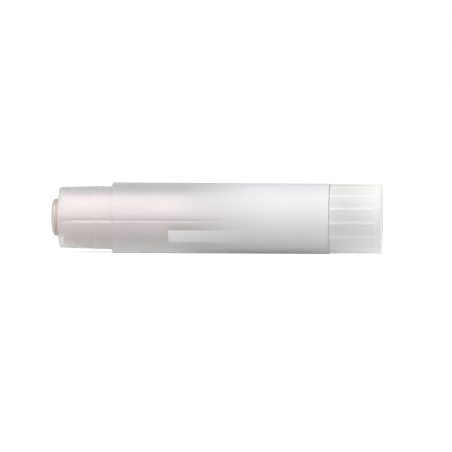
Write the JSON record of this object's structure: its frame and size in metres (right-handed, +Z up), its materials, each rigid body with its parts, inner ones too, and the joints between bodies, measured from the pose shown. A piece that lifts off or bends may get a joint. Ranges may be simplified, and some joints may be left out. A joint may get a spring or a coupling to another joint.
{
  "type": "twist-up pigment stick",
  "caption": "Twist-up art stick in a frosted plastic barrel with a stepped neck, a film label and a scalloped hand wheel that feeds a pale pink pigment core out of the mouth.",
  "frame": {"origin": "under the middle of the stick, on the surface that it lies on", "axes": "+X along the stick towards the hand wheel, +Z up, -Y towards the side that shows in the picture"},
  "size_m": [0.0758, 0.016, 0.0161],
  "materials": {
    "frosted_plastic": "natural translucent moulding, satin",
    "label_film": "clear film that turns pale grey-white towards the hand wheel",
    "wheel_plastic": "natural translucent moulding, satin",
    "spindle_plastic": "white moulding, satin",
    "carrier_plastic": "white moulding, satin",
    "pigment": "waxy pearl pink, satin"
  },
  "bodies": {
    "barrel": {"barrel": "frosted_plastic", "label": "label_film"},
    "drive": {"hand_wheel": "wheel_plastic", "spindle": "spindle_plastic"},
    "carriage": {"carrier": "carrier_plastic", "pigment_stick": "pigment"}
  },
  "joints": [
    {"name": "wheel_turn", "type": "hinge", "parent": "barrel", "child": "drive", "pos_m": [0.0319, 0, 0.00804], "axis": [-1, 0, 0], "range_deg": [-225, 3600]},
    {"name": "pigment_feed", "type": "slide", "parent": "barrel", "child": "carriage", "axis": [-1, 0, 0], "range_m": [-0.0025, 0.04]}
  ],
  "couplings": [
    {"joint": "wheel_turn", "follows": "pigment_feed", "rad_per_m": 1570.8}
  ]
}
